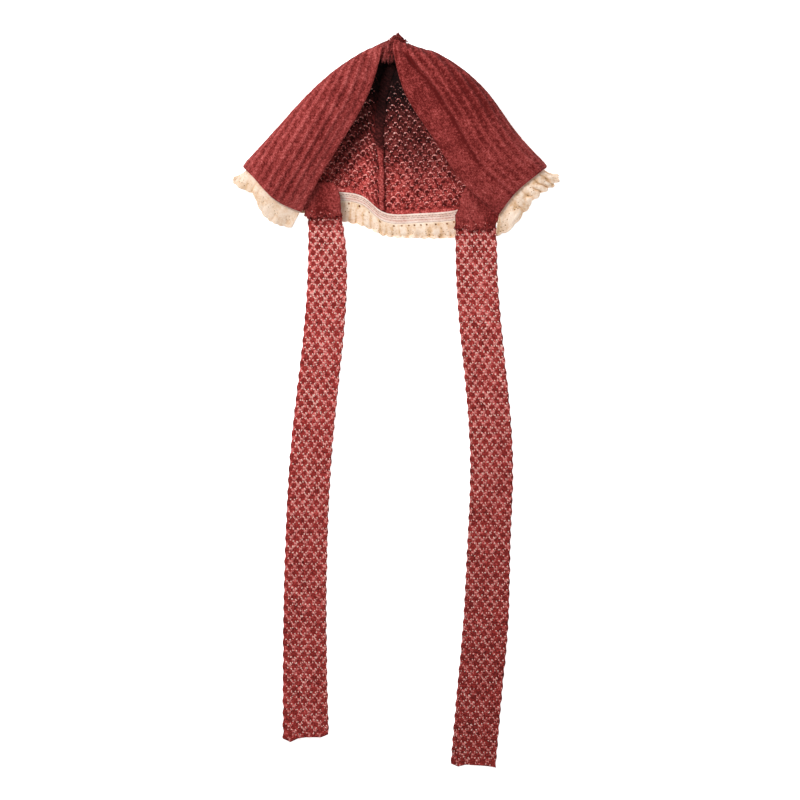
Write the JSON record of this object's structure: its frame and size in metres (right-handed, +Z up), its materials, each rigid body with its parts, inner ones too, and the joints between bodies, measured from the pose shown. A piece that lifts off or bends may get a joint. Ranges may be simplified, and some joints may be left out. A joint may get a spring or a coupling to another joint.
{
  "type": "knitted baby bonnet",
  "caption": "Ribbed knit baby bonnet with a gathered top, a pierced lace frill at the neck and long flat ties, lying spread out flat.",
  "frame": {"origin": "on the surface that the bonnet lies on, under the middle of its whole length and width with the ties spread out", "axes": "+Z up from that surface, +Y from the tie ends towards the gathered top, +X to the right with the face opening upwards"},
  "size_m": [0.2344, 0.5288, 0.0391],
  "materials": {
    "red_knit": "soft matt ribbed knit",
    "dark_red_knit": "soft matt bunched knit",
    "patterned_knit": "soft matt knit with raised dots and pale flecks",
    "cream_lace": "thin pierced cotton lace",
    "pale_tape": "woven tape with stitch lines"
  },
  "bodies": {
    "root": {"crown_left": "red_knit", "crown_right": "red_knit", "back_seam": "dark_red_knit", "gather_knot": "dark_red_knit", "lace_heading": "pale_tape", "lace_frill": "cream_lace", "tie_tab_left": "red_knit", "tie_tab_right": "red_knit", "tie_left": "patterned_knit", "tie_right": "patterned_knit"}
  },
  "joints": []
}
